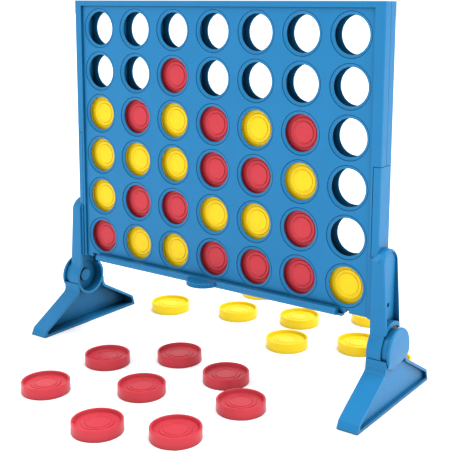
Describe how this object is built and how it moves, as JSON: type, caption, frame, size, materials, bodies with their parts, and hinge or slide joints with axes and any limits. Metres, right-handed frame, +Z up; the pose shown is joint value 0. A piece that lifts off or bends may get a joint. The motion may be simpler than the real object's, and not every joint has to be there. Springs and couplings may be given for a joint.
{
  "type": "four in a row game",
  "caption": "Tabletop game: upright grid of open columns on two clip-on legs with pivoting feet, a sliding release bar below, and round discs to drop in.",
  "frame": {"origin": "on the floor under the middle of the whole set, discs included; x = 0 and y = 0 are the grid's own mid-planes", "axes": "+Z up; +X along the grid to the player's right; -Y faces the player who sees the finger tab"},
  "size_m": [0.291, 0.3028, 0.2568],
  "materials": {
    "front_shell_plastic": "moulded blue, satin gloss",
    "rear_shell_plastic": "moulded blue, satin gloss",
    "release_bar_plastic": "moulded blue, satin gloss",
    "leg_plastic": "moulded blue, satin gloss",
    "foot_plastic": "moulded blue, satin gloss",
    "pin_plastic": "moulded blue, satin gloss",
    "red_disc_plastic": "moulded red, slightly translucent",
    "yellow_disc_plastic": "moulded yellow, slightly translucent"
  },
  "bodies": {
    "grid": {"grid_front_shell": "front_shell_plastic", "grid_rear_shell": "rear_shell_plastic"},
    "release_bar": {"release_bar": "release_bar_plastic"},
    "right_leg": {"right_leg_post": "leg_plastic"},
    "right_foot": {"right_foot": "foot_plastic", "right_pivot_pin": "pin_plastic"},
    "left_leg": {"left_leg_post": "leg_plastic"},
    "left_foot": {"left_foot": "foot_plastic", "left_pivot_pin": "pin_plastic"},
    "red_disc_c1_r1": {"red_disc_c1_r1": "red_disc_plastic"},
    "yellow_disc_c1_r2": {"yellow_disc_c1_r2": "yellow_disc_plastic"},
    "yellow_disc_c1_r3": {"yellow_disc_c1_r3": "yellow_disc_plastic"},
    "yellow_disc_c1_r4": {"yellow_disc_c1_r4": "yellow_disc_plastic"},
    "yellow_disc_c2_r1": {"yellow_disc_c2_r1": "yellow_disc_plastic"},
    "red_disc_c2_r2": {"red_disc_c2_r2": "red_disc_plastic"},
    "yellow_disc_c2_r3": {"yellow_disc_c2_r3": "yellow_disc_plastic"},
    "red_disc_c2_r4": {"red_disc_c2_r4": "red_disc_plastic"},
    "yellow_disc_c3_r1": {"yellow_disc_c3_r1": "yellow_disc_plastic"},
    "red_disc_c3_r2": {"red_disc_c3_r2": "red_disc_plastic"},
    "yellow_disc_c3_r3": {"yellow_disc_c3_r3": "yellow_disc_plastic"},
    "yellow_disc_c3_r4": {"yellow_disc_c3_r4": "yellow_disc_plastic"},
    "red_disc_c3_r5": {"red_disc_c3_r5": "red_disc_plastic"},
    "red_disc_c4_r1": {"red_disc_c4_r1": "red_disc_plastic"},
    "yellow_disc_c4_r2": {"yellow_disc_c4_r2": "yellow_disc_plastic"},
    "red_disc_c4_r3": {"red_disc_c4_r3": "red_disc_plastic"},
    "red_disc_c4_r4": {"red_disc_c4_r4": "red_disc_plastic"},
    "red_disc_c5_r1": {"red_disc_c5_r1": "red_disc_plastic"},
    "yellow_disc_c5_r2": {"yellow_disc_c5_r2": "yellow_disc_plastic"},
    "red_disc_c5_r3": {"red_disc_c5_r3": "red_disc_plastic"},
    "yellow_disc_c5_r4": {"yellow_disc_c5_r4": "yellow_disc_plastic"},
    "red_disc_c6_r1": {"red_disc_c6_r1": "red_disc_plastic"},
    "red_disc_c6_r2": {"red_disc_c6_r2": "red_disc_plastic"},
    "yellow_disc_c6_r3": {"yellow_disc_c6_r3": "yellow_disc_plastic"},
    "red_disc_c6_r4": {"red_disc_c6_r4": "red_disc_plastic"},
    "yellow_disc_c7_r1": {"yellow_disc_c7_r1": "yellow_disc_plastic"},
    "red_disc_loose_1": {"red_disc_loose_1": "red_disc_plastic"},
    "red_disc_loose_2": {"red_disc_loose_2": "red_disc_plastic"},
    "red_disc_loose_3": {"red_disc_loose_3": "red_disc_plastic"},
    "red_disc_loose_4": {"red_disc_loose_4": "red_disc_plastic"},
    "red_disc_loose_5": {"red_disc_loose_5": "red_disc_plastic"},
    "red_disc_loose_6": {"red_disc_loose_6": "red_disc_plastic"},
    "red_disc_loose_7": {"red_disc_loose_7": "red_disc_plastic"},
    "red_disc_loose_8": {"red_disc_loose_8": "red_disc_plastic"},
    "yellow_disc_loose_1": {"yellow_disc_loose_1": "yellow_disc_plastic"},
    "yellow_disc_loose_2": {"yellow_disc_loose_2": "yellow_disc_plastic"},
    "yellow_disc_loose_3": {"yellow_disc_loose_3": "yellow_disc_plastic"},
    "yellow_disc_loose_4": {"yellow_disc_loose_4": "yellow_disc_plastic"},
    "yellow_disc_loose_5": {"yellow_disc_loose_5": "yellow_disc_plastic"},
    "yellow_disc_loose_6": {"yellow_disc_loose_6": "yellow_disc_plastic"},
    "yellow_disc_loose_7": {"yellow_disc_loose_7": "yellow_disc_plastic"},
    "yellow_disc_loose_8": {"yellow_disc_loose_8": "yellow_disc_plastic"}
  },
  "joints": [
    {"name": "release_bar_slide", "type": "slide", "parent": "grid", "child": "release_bar", "axis": [1, 0, 0], "range_m": [0, 0.0204]},
    {"name": "right_foot_pivot", "type": "hinge", "parent": "right_leg", "child": "right_foot", "pos_m": [0.1358, 0, 0.0377], "axis": [1, 0, 0], "range_deg": [0, 50]},
    {"name": "left_foot_pivot", "type": "hinge", "parent": "left_leg", "child": "left_foot", "pos_m": [-0.1358, 0, 0.0377], "axis": [1, 0, 0], "range_deg": [-50, 0]},
    {"name": "right_leg_slide", "type": "slide", "parent": "grid", "child": "right_leg", "axis": [0, 0, -1], "range_m": [0, 0.105]},
    {"name": "left_leg_slide", "type": "slide", "parent": "grid", "child": "left_leg", "axis": [0, 0, -1], "range_m": [0, 0.105]},
    {"name": "lift_c1_r4", "type": "slide", "parent": "yellow_disc_c1_r3", "child": "yellow_disc_c1_r4", "axis": [0, 0, 1], "range_m": [0, 0.1048]},
    {"name": "lift_c2_r4", "type": "slide", "parent": "yellow_disc_c2_r3", "child": "red_disc_c2_r4", "axis": [0, 0, 1], "range_m": [0, 0.1048]},
    {"name": "lift_c3_r5", "type": "slide", "parent": "yellow_disc_c3_r4", "child": "red_disc_c3_r5", "axis": [0, 0, 1], "range_m": [0, 0.0726]},
    {"name": "lift_c4_r4", "type": "slide", "parent": "red_disc_c4_r3", "child": "red_disc_c4_r4", "axis": [0, 0, 1], "range_m": [0, 0.1048]},
    {"name": "lift_c5_r4", "type": "slide", "parent": "red_disc_c5_r3", "child": "yellow_disc_c5_r4", "axis": [0, 0, 1], "range_m": [0, 0.1048]},
    {"name": "lift_c6_r4", "type": "slide", "parent": "yellow_disc_c6_r3", "child": "red_disc_c6_r4", "axis": [0, 0, 1], "range_m": [0, 0.1048]},
    {"name": "lift_c7_r1", "type": "slide", "parent": "grid", "child": "yellow_disc_c7_r1", "axis": [0, 0, 1], "range_m": [0, 0.2015]},
    {"name": "lift_c1_r1", "type": "slide", "parent": "grid", "child": "red_disc_c1_r1", "axis": [0, 0, 1], "range_m": [0, 0.0322]},
    {"name": "lift_c1_r2", "type": "slide", "parent": "red_disc_c1_r1", "child": "yellow_disc_c1_r2", "axis": [0, 0, 1], "range_m": [0, 0.0322]},
    {"name": "lift_c1_r3", "type": "slide", "parent": "yellow_disc_c1_r2", "child": "yellow_disc_c1_r3", "axis": [0, 0, 1], "range_m": [0, 0.0322]},
    {"name": "lift_c2_r1", "type": "slide", "parent": "grid", "child": "yellow_disc_c2_r1", "axis": [0, 0, 1], "range_m": [0, 0.0322]},
    {"name": "lift_c2_r2", "type": "slide", "parent": "yellow_disc_c2_r1", "child": "red_disc_c2_r2", "axis": [0, 0, 1], "range_m": [0, 0.0322]},
    {"name": "lift_c2_r3", "type": "slide", "parent": "red_disc_c2_r2", "child": "yellow_disc_c2_r3", "axis": [0, 0, 1], "range_m": [0, 0.0322]},
    {"name": "lift_c3_r1", "type": "slide", "parent": "grid", "child": "yellow_disc_c3_r1", "axis": [0, 0, 1], "range_m": [0, 0.0322]},
    {"name": "lift_c3_r2", "type": "slide", "parent": "yellow_disc_c3_r1", "child": "red_disc_c3_r2", "axis": [0, 0, 1], "range_m": [0, 0.0322]},
    {"name": "lift_c3_r3", "type": "slide", "parent": "red_disc_c3_r2", "child": "yellow_disc_c3_r3", "axis": [0, 0, 1], "range_m": [0, 0.0322]},
    {"name": "lift_c3_r4", "type": "slide", "parent": "yellow_disc_c3_r3", "child": "yellow_disc_c3_r4", "axis": [0, 0, 1], "range_m": [0, 0.0322]},
    {"name": "lift_c4_r1", "type": "slide", "parent": "grid", "child": "red_disc_c4_r1", "axis": [0, 0, 1], "range_m": [0, 0.0322]},
    {"name": "lift_c4_r2", "type": "slide", "parent": "red_disc_c4_r1", "child": "yellow_disc_c4_r2", "axis": [0, 0, 1], "range_m": [0, 0.0322]},
    {"name": "lift_c4_r3", "type": "slide", "parent": "yellow_disc_c4_r2", "child": "red_disc_c4_r3", "axis": [0, 0, 1], "range_m": [0, 0.0322]},
    {"name": "lift_c5_r1", "type": "slide", "parent": "grid", "child": "red_disc_c5_r1", "axis": [0, 0, 1], "range_m": [0, 0.0322]},
    {"name": "lift_c5_r2", "type": "slide", "parent": "red_disc_c5_r1", "child": "yellow_disc_c5_r2", "axis": [0, 0, 1], "range_m": [0, 0.0322]},
    {"name": "lift_c5_r3", "type": "slide", "parent": "yellow_disc_c5_r2", "child": "red_disc_c5_r3", "axis": [0, 0, 1], "range_m": [0, 0.0322]},
    {"name": "lift_c6_r1", "type": "slide", "parent": "grid", "child": "red_disc_c6_r1", "axis": [0, 0, 1], "range_m": [0, 0.0322]},
    {"name": "lift_c6_r2", "type": "slide", "parent": "red_disc_c6_r1", "child": "red_disc_c6_r2", "axis": [0, 0, 1], "range_m": [0, 0.0322]},
    {"name": "lift_c6_r3", "type": "slide", "parent": "red_disc_c6_r2", "child": "yellow_disc_c6_r3", "axis": [0, 0, 1], "range_m": [0, 0.0322]},
    {"name": "lift_red_loose_1", "type": "slide", "parent": "grid", "child": "red_disc_loose_1", "axis": [0, 0, 1], "range_m": [0, 0.03]},
    {"name": "lift_red_loose_2", "type": "slide", "parent": "grid", "child": "red_disc_loose_2", "axis": [0, 0, 1], "range_m": [0, 0.03]},
    {"name": "lift_red_loose_3", "type": "slide", "parent": "grid", "child": "red_disc_loose_3", "axis": [0, 0, 1], "range_m": [0, 0.03]},
    {"name": "lift_red_loose_4", "type": "slide", "parent": "grid", "child": "red_disc_loose_4", "axis": [0, 0, 1], "range_m": [0, 0.03]},
    {"name": "lift_red_loose_5", "type": "slide", "parent": "grid", "child": "red_disc_loose_5", "axis": [0, 0, 1], "range_m": [0, 0.03]},
    {"name": "lift_red_loose_6", "type": "slide", "parent": "grid", "child": "red_disc_loose_6", "axis": [0, 0, 1], "range_m": [0, 0.03]},
    {"name": "lift_red_loose_7", "type": "slide", "parent": "grid", "child": "red_disc_loose_7", "axis": [0, 0, 1], "range_m": [0, 0.03]},
    {"name": "lift_red_loose_8", "type": "slide", "parent": "grid", "child": "red_disc_loose_8", "axis": [0, 0, 1], "range_m": [0, 0.03]},
    {"name": "lift_yellow_loose_1", "type": "slide", "parent": "grid", "child": "yellow_disc_loose_1", "axis": [0, 0, 1], "range_m": [0, 0.03]},
    {"name": "lift_yellow_loose_2", "type": "slide", "parent": "grid", "child": "yellow_disc_loose_2", "axis": [0, 0, 1], "range_m": [0, 0.03]},
    {"name": "lift_yellow_loose_3", "type": "slide", "parent": "grid", "child": "yellow_disc_loose_3", "axis": [0, 0, 1], "range_m": [0, 0.03]},
    {"name": "lift_yellow_loose_4", "type": "slide", "parent": "grid", "child": "yellow_disc_loose_4", "axis": [0, 0, 1], "range_m": [0, 0.03]},
    {"name": "lift_yellow_loose_5", "type": "slide", "parent": "grid", "child": "yellow_disc_loose_5", "axis": [0, 0, 1], "range_m": [0, 0.03]},
    {"name": "lift_yellow_loose_6", "type": "slide", "parent": "grid", "child": "yellow_disc_loose_6", "axis": [0, 0, 1], "range_m": [0, 0.03]},
    {"name": "lift_yellow_loose_7", "type": "slide", "parent": "grid", "child": "yellow_disc_loose_7", "axis": [0, 0, 1], "range_m": [0, 0.03]},
    {"name": "lift_yellow_loose_8", "type": "slide", "parent": "grid", "child": "yellow_disc_loose_8", "axis": [0, 0, 1], "range_m": [0, 0.03]}
  ]
}
